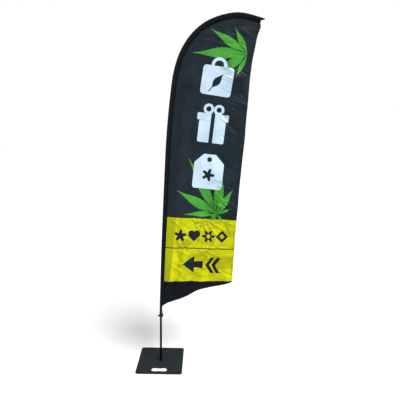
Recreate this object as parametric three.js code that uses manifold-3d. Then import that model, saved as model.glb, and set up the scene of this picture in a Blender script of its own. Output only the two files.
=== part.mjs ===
// Teardrop flag on a steel base plate with a ball-bearing spindle.
// Millimetres, +Z up. The origin is on the floor, on the axis that the flag turns about.
// The flag lies in the XZ plane and reaches from the pole towards +X.

import * as THREE from 'three';
import { mergeVertices } from 'three/addons/utils/BufferGeometryUtils.js';
import Module from 'manifold-3d';

const wasm = await Module();
wasm.setup();

// ---------------------------------------------------------------- driving dimensions

const GAP = 0.3; // clearance between pieces that touch

const PLATE = { side: 380, thickness: 5, cornerRadius: 20 };
const PEG_HOLE = { radius: 3.75, offset: 158 };
const HAND_SLOT = { y: -134, length: 129, lobeRadius: 23, waist: 39 };

const STUD = { headRadius: 14, headHeight: 2.2, radius: 5, top: 16 };
const HOUSING = {
  bottom: 5.3, top: 104, radius: 11, boreRadius: 8.2, shoulder: 22, recess: 17.5, recessRadius: 7.2,
};
const GROOVE_DEPTH = 0.7;
const BEARING = {
  outerRadius: 8, boreRadius: 4, width: 5, outerLip: 7, innerLip: 5, ballRadius: 1.2, ballCircle: 6, balls: 8,
};
const BALL_CAGE = { inner: 5.5, outer: 6.5, height: 1.6 };
const LOWER_BEARING_Z = HOUSING.shoulder + 0.2;
const UPPER_BEARING_Z = 84.2;
const SPACER_INNER = 7.2;
const HOUSING_CLIP = { z: 89.7, thickness: 1.2, inner: 7.3, outer: 8.7, opening: 4 };
const SEAL = { bottom: 95, top: 103, outer: 7.9, shellInner: 6.6, lipOuter: 6, lipThickness: 2 };

const JOURNAL = {
  radius: 3.85, grooveRadius: 3.2, collarRadius: 5, bottom: 19.2,
  shoulder: UPPER_BEARING_Z + BEARING.width + GAP,
};
const PIN_CLIP = { z: 20.7, thickness: 1, inner: 3.4, outer: 5.2, opening: 3 };
const FLANGE = { radius: 10.5, bottom: 104.6, top: 109.4 };
const PIN = { radius: 6.6, top: 285 };
const BUSH = { inner: 6.1, outer: 7, height: 12, lowerZ: 124, upperZ: 262 };

const LOWER_POLE = { outer: 9, inner: 7.2 };
const MIDDLE_POLE = { outer: 6.9, inner: 5.2 };
const TOP_ROD_RADIUS = 4;
const JOINT_RING = { outer: 9.4, length: 12 };
const POLE_BOTTOM = FLANGE.top + GAP;

// Arc lengths along the pole's centreline, from the foot of the lower pole.
const LOWER_POLE_END = 1100;
const MIDDLE_POLE_START = 1020;
const MIDDLE_POLE_END = 2180;
const TOP_ROD_START = 2100;

const TIP_CAP = { radius: 5.5, length: 12 };

const SLEEVE = {
  radius: 11, holeRadius: 10, seam: 27, seamHalf: 1.2, holeSeam: 24, holeSeamHalf: 0.3, bottom: 500,
};
const TIP_POCKET = { length: 25, endRadius: 3.5 };
const PANEL_THICKNESS = 1.2;
const PANEL_GAP = 0.7;
const CUFF = { bottom: 445, outer: 10.9, inner: 9.8 };
const PATCH = { width: 13, thickness: 3, bottom: 464, top: 488, x: 3 };
const BUNGEE_RADIUS = 1.5;

const COLLAR = { bottom: 401, top: 437, inner: 9.7, outer: 13.5 };
const PEG = { z: 413, radius: 5, cordX: 16.2, flangeX: 18.6, flange: 2.2, flangeRadius: 7.5 };
const SCREW = { z: 411, tipX: -9.5, radius: 2.4, endX: -23.6 };
const BOSS = { innerX: -10.5, outerX: -16, half: 5.3 };
const NUT = { side: 8, thickness: 3.2, x: -13, boreRadius: 2.6 };
const KNOB = { radius: 6, x: -17.6, length: 6.6, lobes: 10, lobeDepth: 0.5 };

// The pole's centreline above the collar: plumb at the foot, then bowed over to the tip.
const BOW = [
  [0, 450], [0.8, 500], [4.5, 640], [11.5, 900], [23, 1230], [37, 1560], [53, 1880], [79.5, 2180],
  [110.5, 2398], [160, 2542], [233, 2654], [322, 2733], [402, 2774], [489, 2801], [572, 2812],
  [641, 2806], [704, 2791], [765, 2774],
];

// Lower and trailing edges of the flag, as points on smooth curves in the XZ plane.
const LOWER_EDGE = [[110, 547], [206, 582], [306, 642], [393, 669], [591, 712]];
const TRAILING_EDGE = [[615, 1264], [639, 1648], [667, 2070], [683, 2370], [709, 2557], [749, 2738]];

// ---------------------------------------------------------------- materials

function material(color, roughness, metalness = 0) {
  return new THREE.MeshStandardMaterial({ color, roughness, metalness });
}

const POWDER_COAT = material(0x2d3537, 0.6, 0.3);
const BLACK_STEEL = material(0x101214, 0.4, 0.6);
const BRIGHT_STEEL = material(0xb8bcc0, 0.25, 1);
const BLACK_PLASTIC = material(0x17191b, 0.5);
const BLACK_ALUMINIUM = material(0x0e1011, 0.35, 0.7);
const GLASS_FIBRE = material(0x1a1b1c, 0.45);
const RUBBER = material(0x121212, 0.8);
const SLEEVE_CLOTH = material(0x161b1e, 0.8);
const PANEL_CLOTH = material(0x283139, 0.75);
const WEBBING = material(0x131618, 0.85);

// ---------------------------------------------------------------- solid modelling helpers

function toManifold(geometry) {
  const bare = new THREE.BufferGeometry();
  bare.setAttribute('position', geometry.getAttribute('position'));
  bare.setIndex(geometry.getIndex());
  const merged = mergeVertices(bare, 1e-4);
  const vertProperties = Float32Array.from(merged.getAttribute('position').array);
  const triVerts = Uint32Array.from(merged.getIndex().array);
  return new wasm.Manifold(new wasm.Mesh({ numProp: 3, vertProperties, triVerts }));
}

function fromManifold(solid) {
  const mesh = solid.getMesh();
  const geometry = new THREE.BufferGeometry();
  geometry.setAttribute('position', new THREE.BufferAttribute(mesh.vertProperties, 3));
  geometry.setIndex(new THREE.BufferAttribute(mesh.triVerts, 1));
  geometry.computeVertexNormals();
  return geometry;
}

function join(geometries) {
  const solids = geometries.map(toManifold);
  return fromManifold(solids.reduce((sum, next) => sum.add(next)));
}

function cut(geometry, tools) {
  const solid = toManifold(geometry);
  return fromManifold(tools.map(toManifold).reduce((rest, tool) => rest.subtract(tool), solid));
}

// Revolves a closed outline of [radius, z] points, listed anticlockwise, about the Z axis.
function turned(outline, segments = 24) {
  const points = [...outline, outline[0]].map(([r, z]) => new THREE.Vector2(r, z));
  return new THREE.LatheGeometry(points, segments).rotateX(Math.PI / 2);
}

function turnedRing(inner, outer, bottom, top, segments = 24) {
  return turned([[inner, bottom], [outer, bottom], [outer, top], [inner, top]], segments);
}

// A round bar along X between two planes.
function barAlongX(radius, fromX, toX, z, segments = 24) {
  const bar = new THREE.CylinderGeometry(radius, radius, toX - fromX, segments).rotateZ(Math.PI / 2);
  return bar.translate((fromX + toX) / 2, 0, z);
}

function box(fromX, toX, fromY, toY, fromZ, toZ) {
  const geometry = new THREE.BoxGeometry(toX - fromX, toY - fromY, toZ - fromZ);
  return geometry.translate((fromX + toX) / 2, (fromY + toY) / 2, (fromZ + toZ) / 2);
}

function sweep(section, path, steps, curveSegments = 12) {
  return new THREE.ExtrudeGeometry(section, { steps, curveSegments, bevelEnabled: false, extrudePath: path });
}

function ringSection(outer, inner) {
  const section = new THREE.Shape().absarc(0, 0, outer, 0, 2 * Math.PI);
  if (inner > 0) section.holes.push(new THREE.Path().absarc(0, 0, inner, 0, 2 * Math.PI));
  return section;
}

// ---------------------------------------------------------------- pole centreline

const CENTRELINE = new THREE.CurvePath();
const BOW_POINTS = BOW.map(([x, z]) => new THREE.Vector3(x, 0, z));
CENTRELINE.add(new THREE.LineCurve3(new THREE.Vector3(0, 0, POLE_BOTTOM), BOW_POINTS[0]));
CENTRELINE.add(new THREE.CatmullRomCurve3(BOW_POINTS, false, 'centripetal'));

const CENTRELINE_LENGTH = CENTRELINE.getLength();
const SLEEVE_END = CENTRELINE_LENGTH - 13;
const TOP_ROD_END = SLEEVE_END - 21;

// The part of the centreline between two arc lengths.
function stretch(from, to) {
  const piece = new THREE.Curve();
  piece.getPoint = (t, target = new THREE.Vector3()) => {
    const along = THREE.MathUtils.lerp(from, to, t) / CENTRELINE_LENGTH;
    return target.copy(CENTRELINE.getPoint(Math.min(along, 1)));
  };
  return piece;
}

// A point beside the centreline, on the flag's side, at an arc length.
function beside(along, offset) {
  const u = along / CENTRELINE_LENGTH;
  const tangent = CENTRELINE.getTangent(u);
  const point = CENTRELINE.getPoint(u);
  return new THREE.Vector2(point.x + offset * tangent.z, point.z - offset * tangent.x);
}

const SLEEVE_START = SLEEVE.bottom - POLE_BOTTOM;
const CUFF_START = CUFF.bottom - POLE_BOTTOM;
const SLEEVE_STEPS = 46;

// ---------------------------------------------------------------- base

function handSlotPath() {
  const { length, lobeRadius, waist } = HAND_SLOT;
  const lobeX = length / 2 - lobeRadius;
  const half = waist / 2;
  const side = new THREE.Path();
  side.absarc(lobeX, 0, lobeRadius, -Math.PI / 2, Math.PI / 2);
  side.bezierCurveTo(lobeX / 2, lobeRadius, lobeX / 2, half, 0, half);
  side.bezierCurveTo(-lobeX / 2, half, -lobeX / 2, lobeRadius, -lobeX, lobeRadius);
  side.absarc(-lobeX, 0, lobeRadius, Math.PI / 2, 1.5 * Math.PI);
  side.bezierCurveTo(-lobeX / 2, -lobeRadius, -lobeX / 2, -half, 0, -half);
  side.bezierCurveTo(lobeX / 2, -half, lobeX / 2, -lobeRadius, lobeX, -lobeRadius);
  const points = side.getPoints(6).slice(0, -1);
  return new THREE.Path(points.map((p) => new THREE.Vector2(p.x, p.y + HAND_SLOT.y)));
}

function basePlate() {
  const h = PLATE.side / 2;
  const r = PLATE.cornerRadius;
  const outline = new THREE.Shape();
  outline.absarc(h - r, h - r, r, 0, Math.PI / 2);
  outline.absarc(-h + r, h - r, r, Math.PI / 2, Math.PI);
  outline.absarc(-h + r, -h + r, r, Math.PI, 1.5 * Math.PI);
  outline.absarc(h - r, -h + r, r, 1.5 * Math.PI, 2 * Math.PI);
  outline.holes.push(handSlotPath());
  for (const x of [-1, 1]) {
    for (const y of [-1, 1]) {
      const hole = new THREE.Path();
      hole.absarc(x * PEG_HOLE.offset, y * PEG_HOLE.offset, PEG_HOLE.radius, 0, 2 * Math.PI);
      outline.holes.push(hole);
    }
  }
  const { thickness } = PLATE;
  const options = { depth: thickness, bevelEnabled: false, curveSegments: 7 };
  const slab = new THREE.ExtrudeGeometry(outline, options);
  const studHole = turnedRing(0, STUD.radius + GAP, -1, thickness + 1);
  const headSeat = turnedRing(0, STUD.headRadius + GAP, -1, STUD.headHeight + GAP);
  return cut(slab, [studHole, headSeat]);
}

function baseStud() {
  const { headRadius, headHeight, radius, top } = STUD;
  return turned([[0, 0], [headRadius, 0], [headRadius, headHeight], [radius, headHeight], [radius, top - 1],
    [radius - 1, top], [0, top]]);
}

function bearingHousing() {
  const { bottom, top, radius, boreRadius, shoulder, recess, recessRadius } = HOUSING;
  const grooveBottom = HOUSING_CLIP.z - 0.2;
  const grooveTop = HOUSING_CLIP.z + HOUSING_CLIP.thickness + 0.2;
  const grooveRadius = boreRadius + GROOVE_DEPTH;
  return turned([
    [STUD.radius + GAP, bottom], [radius - 0.6, bottom], [radius, bottom + 0.6], [radius, top - 0.8],
    [radius - 0.8, top], [boreRadius, top], [boreRadius, grooveTop], [grooveRadius, grooveTop],
    [grooveRadius, grooveBottom], [boreRadius, grooveBottom], [boreRadius, shoulder],
    [recessRadius, shoulder], [recessRadius, recess], [STUD.radius + GAP, recess],
  ], 32);
}

// Ball race outline: a ring whose groove is an arc around the ball circle.
function raceGroove(lipRadius, towardsAxis) {
  const arcRadius = BEARING.ballRadius + 0.15;
  const reach = Math.abs(lipRadius - BEARING.ballCircle);
  const half = Math.acos(reach / arcRadius);
  const points = [];
  for (const step of [-1, -0.5, 0, 0.5, 1]) {
    const angle = step * half;
    const sign = towardsAxis ? -1 : 1;
    points.push([BEARING.ballCircle + sign * arcRadius * Math.cos(angle), arcRadius * Math.sin(angle)]);
  }
  return points;
}

function outerRing(z) {
  const { outerRadius, outerLip, width } = BEARING;
  const top = z + width;
  const groove = raceGroove(outerLip, false).reverse().map(([r, dz]) => [r, z + width / 2 + dz]);
  return turned([[outerLip, z], [outerRadius, z], [outerRadius, top], [outerLip, top], ...groove]);
}

function innerRing(z) {
  const { boreRadius, innerLip, width } = BEARING;
  const top = z + width;
  const groove = raceGroove(innerLip, true).map(([r, dz]) => [r, z + width / 2 + dz]);
  return turned([[boreRadius, z], [innerLip, z], ...groove, [innerLip, top], [boreRadius, top]]);
}

function cagedBalls(z) {
  const middle = z + BEARING.width / 2;
  const half = BALL_CAGE.height / 2;
  const cage = turnedRing(BALL_CAGE.inner, BALL_CAGE.outer, middle - half, middle + half);
  const balls = [];
  for (let i = 0; i < BEARING.balls; i += 1) {
    const angle = (2 * Math.PI * i) / BEARING.balls;
    const ball = new THREE.IcosahedronGeometry(BEARING.ballRadius, 1);
    ball.translate(BEARING.ballCircle * Math.cos(angle), BEARING.ballCircle * Math.sin(angle), middle);
    balls.push(ball);
  }
  return join([cage, ...balls]);
}

function bearingSpacer() {
  const bottom = LOWER_BEARING_Z + BEARING.width + GAP;
  return turnedRing(SPACER_INNER, BEARING.outerRadius, bottom, UPPER_BEARING_Z - GAP);
}

// An open spring clip: a flat ring with a gap in it.
function springClip({ z, thickness, inner, outer, opening }) {
  const ring = turnedRing(inner, outer, z, z + thickness);
  return cut(ring, [box(0, outer + 1, -opening / 2, opening / 2, z - 1, z + thickness + 1)]);
}

function dustSeal() {
  const inner = JOURNAL.collarRadius + 0.2;
  const { bottom, top, outer, shellInner, lipOuter, lipThickness } = SEAL;
  const floorTop = bottom + lipThickness;
  const lipTop = top - lipThickness;
  return turned([[inner, bottom], [outer, bottom], [outer, top], [shellInner, top], [shellInner, floorTop],
    [lipOuter, floorTop], [lipOuter, lipTop], [inner, lipTop]]);
}

// ---------------------------------------------------------------- spindle

function spindlePin() {
  const grooveTop = PIN_CLIP.z + PIN_CLIP.thickness + 0.2;
  const grooveBottom = PIN_CLIP.z - 0.2;
  const { grooveRadius } = JOURNAL;
  const seat = BUSH.inner - 0.2;
  const profile = [
    [0, JOURNAL.bottom], [grooveRadius, JOURNAL.bottom], [JOURNAL.radius, JOURNAL.bottom + 0.6],
    [JOURNAL.radius, grooveBottom], [grooveRadius, grooveBottom], [grooveRadius, grooveTop],
    [JOURNAL.radius, grooveTop],
    [JOURNAL.radius, JOURNAL.shoulder], [JOURNAL.collarRadius, JOURNAL.shoulder],
    [JOURNAL.collarRadius, FLANGE.bottom], [FLANGE.radius, FLANGE.bottom], [FLANGE.radius, FLANGE.top],
    [PIN.radius, FLANGE.top],
  ];
  for (const z of [BUSH.lowerZ, BUSH.upperZ]) {
    profile.push([PIN.radius, z - GAP], [seat, z - GAP]);
    profile.push([seat, z + BUSH.height + GAP], [PIN.radius, z + BUSH.height + GAP]);
  }
  profile.push([PIN.radius, PIN.top - 3], [PIN.radius - 2, PIN.top], [0, PIN.top]);
  return turned(profile);
}

function pinBush(z) {
  return turnedRing(BUSH.inner, BUSH.outer, z, z + BUSH.height);
}

// ---------------------------------------------------------------- pole sections

function lowerPole() {
  return sweep(ringSection(LOWER_POLE.outer, LOWER_POLE.inner), stretch(0, LOWER_POLE_END), 12);
}

function middlePole() {
  const path = stretch(MIDDLE_POLE_START, MIDDLE_POLE_END);
  return sweep(ringSection(MIDDLE_POLE.outer, MIDDLE_POLE.inner), path, 16, 8);
}

function topRod() {
  return sweep(ringSection(TOP_ROD_RADIUS, 0), stretch(TOP_ROD_START, TOP_ROD_END), 28, 5);
}

function jointRing(poleEnd, inner) {
  const from = poleEnd + GAP;
  return sweep(ringSection(JOINT_RING.outer, inner), stretch(from, from + JOINT_RING.length), 1, 12);
}

function tipCap() {
  const path = stretch(TOP_ROD_END + GAP, TOP_ROD_END + TIP_CAP.length);
  return sweep(ringSection(TIP_CAP.radius, 0), path, 2, 8);
}

// ---------------------------------------------------------------- flag cloth

// Teardrop outline of the sleeve: round at the pole, drawn in to the seam on the +Y side of the section.
function teardrop(path, radius, tail, halfWidth) {
  const touch = Math.PI / 2 - Math.acos((radius - halfWidth) / tail);
  path.absarc(0, 0, radius, Math.PI - touch, 2 * Math.PI + touch);
  path.lineTo(halfWidth, tail);
  path.lineTo(-halfWidth, tail);
  path.closePath();
  return path;
}

function poleSleeve() {
  const section = teardrop(new THREE.Shape(), SLEEVE.radius, SLEEVE.seam, SLEEVE.seamHalf);
  section.holes.push(teardrop(new THREE.Path(), SLEEVE.holeRadius, SLEEVE.holeSeam, SLEEVE.holeSeamHalf));
  return sweep(section, stretch(SLEEVE_START, SLEEVE_END), SLEEVE_STEPS, 5);
}

// The pocket tapers to a blunt point past the end of the sleeve, flush with the sleeve's outer side.
function tipPocket() {
  const { length, endRadius } = TIP_POCKET;
  const cone = new THREE.CylinderGeometry(endRadius, SLEEVE.radius, length, 24);
  cone.translate(0, length / 2 + GAP, 0);
  const lean = (SLEEVE.radius - endRadius) / length;
  cone.applyMatrix4(new THREE.Matrix4().makeShear(0, 0, lean, 0, 0, 0));
  const end = CENTRELINE.getPoint(SLEEVE_END / CENTRELINE_LENGTH);
  const tangent = CENTRELINE.getTangent(SLEEVE_END / CENTRELINE_LENGTH);
  const outward = new THREE.Vector3(-tangent.z, 0, tangent.x);
  const frame = new THREE.Matrix4().makeBasis(outward, tangent, outward.clone().cross(tangent));
  return cone.applyMatrix4(frame.setPosition(end));
}

function flagPanel() {
  const seam = [];
  for (let i = SLEEVE_STEPS; i >= 0; i -= 1) {
    const along = THREE.MathUtils.lerp(SLEEVE_START, SLEEVE_END, i / SLEEVE_STEPS);
    seam.push(beside(along, SLEEVE.seam + PANEL_GAP));
  }
  const outline = new THREE.Shape();
  outline.moveTo(seam[SLEEVE_STEPS].x, seam[SLEEVE_STEPS].y);
  outline.splineThru(LOWER_EDGE.map(([x, z]) => new THREE.Vector2(x, z)));
  outline.splineThru(TRAILING_EDGE.map(([x, z]) => new THREE.Vector2(x, z)));
  for (const point of seam) outline.lineTo(point.x, point.y);
  const shape = new THREE.Shape(outline.getPoints(4).slice(0, -1));
  const sheet = new THREE.ExtrudeGeometry(shape, { depth: PANEL_THICKNESS, bevelEnabled: false });
  return sheet.translate(0, 0, -PANEL_THICKNESS / 2).rotateX(Math.PI / 2);
}

function sleeveCuff() {
  return sweep(ringSection(CUFF.outer, CUFF.inner), stretch(CUFF_START, SLEEVE_START - GAP), 2, 12);
}

function cordPatch(side) {
  const near = CUFF.outer + GAP;
  const [fromY, toY] = side < 0 ? [-near - PATCH.thickness, -near] : [near, near + PATCH.thickness];
  const half = PATCH.width / 2;
  return box(PATCH.x - half, PATCH.x + half, fromY, toY, PATCH.bottom, PATCH.top);
}

// The bungee leaves the front patch, passes under the collar's peg and returns to the back patch.
function bungeeCord() {
  const patchY = CUFF.outer + GAP + PATCH.thickness / 2;
  const bend = PEG.radius + BUNGEE_RADIUS + GAP;
  const front = [[4.5, -patchY, PATCH.bottom - GAP], [6, -patchY, 455], [10.5, -12.2, 442], [14.8, -9.8, 430],
    [PEG.cordX, -7.6, 420]];
  const route = front.map(([x, y, z]) => new THREE.Vector3(x, y, z));
  for (let i = 0; i <= 6; i += 1) {
    const angle = Math.PI * (1 + i / 6);
    route.push(new THREE.Vector3(PEG.cordX, bend * Math.cos(angle), PEG.z + bend * Math.sin(angle)));
  }
  for (const [x, y, z] of [...front].reverse()) route.push(new THREE.Vector3(x, -y, z));
  const path = new THREE.CatmullRomCurve3(route, false, 'centripetal');
  return sweep(ringSection(BUNGEE_RADIUS, 0), path, 32, 4);
}

// ---------------------------------------------------------------- tension collar

function tensionCollar() {
  const { bottom, top, inner, outer } = COLLAR;
  const barrel = turned([[inner, bottom], [outer - 1.5, bottom], [outer, bottom + 1.5], [outer, top - 5],
    [outer - 2.5, top], [inner, top]], 40);
  const boss = box(BOSS.outerX, BOSS.innerX, -BOSS.half, BOSS.half, SCREW.z - BOSS.half, SCREW.z + BOSS.half);
  const peg = barAlongX(PEG.radius, inner + 1, PEG.flangeX + 1, PEG.z);
  const pegFlange = barAlongX(PEG.flangeRadius, PEG.flangeX, PEG.flangeX + PEG.flange, PEG.z);
  const body = join([barrel, boss, peg, pegFlange]);
  const bore = turnedRing(0, inner, bottom - 1, top + 1, 40);
  const screwHole = barAlongX(SCREW.radius + GAP, BOSS.outerX - 1, -inner + 1, SCREW.z);
  const nutRoom = NUT.side / 2 + GAP;
  const pocket = box(NUT.x - NUT.thickness / 2 - GAP, NUT.x + NUT.thickness / 2 + GAP, -nutRoom, nutRoom,
    bottom - 1, SCREW.z + nutRoom);
  return cut(body, [bore, screwHole, pocket]);
}

function collarNut() {
  const half = NUT.side / 2;
  const reach = NUT.thickness / 2;
  const block = box(NUT.x - reach, NUT.x + reach, -half, half, SCREW.z - half, SCREW.z + half);
  return cut(block, [barAlongX(NUT.boreRadius, NUT.x - half, NUT.x + half, SCREW.z)]);
}

function thumbScrewShank() {
  return barAlongX(SCREW.radius, SCREW.endX, SCREW.tipX, SCREW.z);
}

function thumbScrewKnob() {
  const outline = [];
  const pointsPerLobe = 5;
  const count = KNOB.lobes * pointsPerLobe;
  for (let i = 0; i < count; i += 1) {
    const angle = (2 * Math.PI * i) / count;
    const radius = KNOB.radius + KNOB.lobeDepth * Math.cos(KNOB.lobes * angle);
    outline.push(new THREE.Vector2(radius * Math.cos(angle), radius * Math.sin(angle)));
  }
  const section = new THREE.Shape(outline);
  section.holes.push(new THREE.Path().absarc(0, 0, SCREW.radius + GAP, 0, 2 * Math.PI));
  const options = { depth: KNOB.length, bevelEnabled: false, curveSegments: 12 };
  const grip = new THREE.ExtrudeGeometry(section, options);
  return grip.rotateY(-Math.PI / 2).translate(KNOB.x, 0, SCREW.z);
}

// ---------------------------------------------------------------- assembly

const flag = new THREE.Group();

function add(name, geometry, meshMaterial) {
  const mesh = new THREE.Mesh(geometry, meshMaterial.clone());
  mesh.name = name;
  flag.add(mesh);
}

add('base_plate', basePlate(), POWDER_COAT);
add('base_stud', baseStud(), BRIGHT_STEEL);
add('bearing_housing', bearingHousing(), BLACK_STEEL);
add('bearing_spacer', bearingSpacer(), BRIGHT_STEEL);
add('housing_circlip', springClip(HOUSING_CLIP), BRIGHT_STEEL);
add('dust_seal', dustSeal(), RUBBER);

for (const [level, z] of [['lower', LOWER_BEARING_Z], ['upper', UPPER_BEARING_Z]]) {
  add(`${level}_bearing_outer_ring`, outerRing(z), BRIGHT_STEEL);
  add(`${level}_bearing_inner_ring`, innerRing(z), BRIGHT_STEEL);
  add(`${level}_bearing_balls`, cagedBalls(z), BRIGHT_STEEL);
}

add('spindle_pin', spindlePin(), BLACK_STEEL);
add('pin_circlip', springClip(PIN_CLIP), BRIGHT_STEEL);
add('pin_bush_lower', pinBush(BUSH.lowerZ), BLACK_PLASTIC);
add('pin_bush_upper', pinBush(BUSH.upperZ), BLACK_PLASTIC);

add('lower_pole', lowerPole(), BLACK_ALUMINIUM);
add('lower_joint_ring', jointRing(LOWER_POLE_END, MIDDLE_POLE.outer + GAP), BLACK_PLASTIC);
add('middle_pole', middlePole(), BLACK_ALUMINIUM);
add('upper_joint_ring', jointRing(MIDDLE_POLE_END, TOP_ROD_RADIUS + GAP), BLACK_PLASTIC);
add('top_rod', topRod(), GLASS_FIBRE);
add('tip_cap', tipCap(), RUBBER);

add('pole_sleeve', poleSleeve(), SLEEVE_CLOTH);
add('tip_pocket', tipPocket(), WEBBING);
add('flag_panel', flagPanel(), PANEL_CLOTH);
add('sleeve_cuff', sleeveCuff(), WEBBING);
add('cord_patch_front', cordPatch(-1), WEBBING);
add('cord_patch_back', cordPatch(1), WEBBING);
add('bungee_cord', bungeeCord(), RUBBER);

add('tension_collar', tensionCollar(), BLACK_PLASTIC);
add('collar_nut', collarNut(), BRIGHT_STEEL);
add('thumb_screw_shank', thumbScrewShank(), BRIGHT_STEEL);
add('thumb_screw_knob', thumbScrewKnob(), BLACK_PLASTIC);

export default flag;
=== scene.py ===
"""Looks of a teardrop flag: printed cloth, pole sleeve, tension hardware and base plate."""

import math

import bpy
import numpy as np
from mathutils import Matrix, Vector


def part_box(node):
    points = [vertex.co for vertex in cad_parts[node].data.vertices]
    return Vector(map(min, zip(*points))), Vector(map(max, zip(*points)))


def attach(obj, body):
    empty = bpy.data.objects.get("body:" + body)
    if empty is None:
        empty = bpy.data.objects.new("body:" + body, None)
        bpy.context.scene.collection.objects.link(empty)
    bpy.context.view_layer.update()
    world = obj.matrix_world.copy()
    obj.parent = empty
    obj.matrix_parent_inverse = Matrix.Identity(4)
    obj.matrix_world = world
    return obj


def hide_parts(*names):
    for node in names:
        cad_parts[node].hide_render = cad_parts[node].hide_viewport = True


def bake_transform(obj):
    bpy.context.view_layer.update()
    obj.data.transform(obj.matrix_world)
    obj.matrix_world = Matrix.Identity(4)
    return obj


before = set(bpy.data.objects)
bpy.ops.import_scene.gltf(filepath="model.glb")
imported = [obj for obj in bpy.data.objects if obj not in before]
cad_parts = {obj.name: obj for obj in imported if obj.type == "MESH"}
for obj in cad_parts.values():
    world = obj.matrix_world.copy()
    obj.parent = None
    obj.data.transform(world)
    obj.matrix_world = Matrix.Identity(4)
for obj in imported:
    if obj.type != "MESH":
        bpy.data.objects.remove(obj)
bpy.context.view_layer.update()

MM = 0.001
Y_AXIS = np.array([0.0, 1.0, 0.0])

# ------------------------------------------------------------------ driving dimensions, in mm

# Centreline of the pole in the XZ plane, as the CAD has it, above the tension collar.
POLE_LINE = [
    (0, 400), (0, 450), (0.8, 500), (4.5, 640), (11.5, 900), (23, 1230), (37, 1560), (53, 1880),
    (79.5, 2180), (110.5, 2398), (160, 2542), (233, 2654), (322, 2733), (402, 2774), (489, 2801),
    (572, 2812), (641, 2806), (704, 2791), (765, 2774),
]
SLEEVE_BOTTOM = 500
SLEEVE_RADIUS = 10.8
# The sleeve ends this far before the centreline does. The tip's pocket overlaps it and goes on past it.
SLEEVE_SHORT = 13
TIP_LENGTH = 25
TIP_RADIUS = 3.6
TIP_OVERLAP = 3
# Distance from the pole's centreline to the sleeve's seam, along the sleeve from its lower end.
SEAM_SHARE = [0, 0.08, 0.28, 0.34, 0.6, 0.68, 0.93, 1]
SEAM_OFFSET = [15, 17, 24, 26.5, 26.5, 30, 31, 29]
# A soft fold beside the seam: its width at the bottom and the top of the yellow block.
FOLD_WIDTH = (60, 82)
FOLD_HEIGHTS = (720, 1260)
# A darker rectangle of the block: middle, half width and half height, in mm.
DARK_PATCH = ((528, 882), 66, 55)

# Lower and trailing edges of the cloth, in the XZ plane.
LOWER_EDGE = [(55, 527), (106, 546), (156, 562), (206, 582), (256, 611), (306, 641), (381, 665), (456, 678)]
LOW_CORNER = (591, 713)
TRAILING_EDGE = [
    (599, 850), (606.5, 1078), (615, 1264), (627, 1469), (638.5, 1648), (654, 1851), (666, 2070),
    (677, 2271), (682.5, 2370), (694.5, 2475), (709, 2558), (728, 2660), (749, 2728),
]
# The cloth's height beside the hem, rounded, to turn the hem's width into a share of it.
PANEL_RISE = 2100
CLOTH_THICKNESS = 0.4
PANEL_COLUMNS = 108
PANEL_ROWS = 430

# Creases scattered over the cloth: how many, their X and Z, angles in degrees, lengths, widths and heights.
CREASE_GROUPS = [
    # beside the trailing edge
    (64, (470, 670), (1320, 2490), (-52, -8), (60, 210), (5, 9), (1.5, 3.5)),
    (14, (500, 660), (1320, 2490), (5, 40), (50, 140), (4, 8), (1.2, 3.0)),
    # across the middle of the black cloth
    (20, (110, 520), (1300, 2500), (40, 72), (90, 280), (6, 14), (0.7, 1.8)),
    # over the yellow block
    (46, (110, 600), (740, 1240), (-70, 70), (45, 190), (6, 9), (3.0, 6.0)),
    # at the lower corner by the pole
    (18, (40, 330), (530, 720), (28, 66), (70, 220), (5, 11), (2.0, 4.5)),
    # under the tip
    (14, (300, 720), (2450, 2730), (-38, 10), (80, 200), (6, 12), (1.0, 2.6)),
]
# Creases that fan out from one point: the point, angles in degrees, length, width and height.
CREASE_FANS = [
    ((345, 1256), (-150, -124, -100, -78, -52, -30), 210, 7, -6.0),
    ((30, 520), (20, 31, 42, 54, 66), 300, 9, 7.0),
]

# Distance of the base plate's peg holes from its centre, along X and along Y, and the radius of each hole's
# dark rim of painted shade.
PEG_HOLE_OFFSET = 158
PEG_HOLE_RIM = 4.6

HEM_WIDTH = 11
HEM_HALF_THICKNESS = 0.55
STITCH_LENGTH = 3.4
STITCH_PITCH = 5.2


# ------------------------------------------------------------------ curves


def smooth_curve(points, per_span):
    """Points along the centripetal Catmull-Rom curve through some points."""
    padded = [2 * points[0] - points[1], *points, 2 * points[-1] - points[-2]]
    spans = []
    t = np.linspace(0, 1, per_span, endpoint=False)[:, None]
    for a, b, c, d in zip(padded, padded[1:], padded[2:], padded[3:]):
        ab, bc, cd = (np.linalg.norm(q - p) ** 0.5 for p, q in ((a, b), (b, c), (c, d)))
        start = bc * ((b - a) / ab - (c - a) / (ab + bc) + (c - b) / bc)
        end = bc * ((c - b) / bc - (d - b) / (bc + cd) + (d - c) / cd)
        square = 3 * (c - b) - 2 * start - end
        cube = 2 * (b - c) + start + end
        spans.append(b + start * t + square * t**2 + cube * t**3)
    return np.vstack([*spans, points[-1:]])


class Track:
    """A smooth curve through points in mm, looked up by its arc length in metres."""

    def __init__(self, points, per_span=16):
        self.points = smooth_curve(np.array(points, float) * MM, per_span)
        steps = np.linalg.norm(np.diff(self.points, axis=0), axis=1)
        self.arc = np.concatenate([[0], np.cumsum(steps)])
        self.length = self.arc[-1]

    def at(self, s):
        return np.stack([np.interp(s, self.arc, column) for column in self.points.T], -1)

    def arc_at_height(self, z):
        """Arc length where a curve in the XZ plane first passes a height in metres."""
        top = self.points[:, 1].argmax()
        return np.interp(z, self.points[:top, 1], self.arc[:top])

    def tangent(self, s):
        step = 1e-3
        s = np.clip(s, step, self.length - step)
        along = self.at(s + step) - self.at(s - step)
        return along / np.linalg.norm(along, axis=-1, keepdims=True)


POLE = Track(POLE_LINE)
SLEEVE_FROM = float(POLE.arc_at_height(SLEEVE_BOTTOM * MM))
SLEEVE_LENGTH = POLE.length - SLEEVE_FROM - SLEEVE_SHORT * MM


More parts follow.
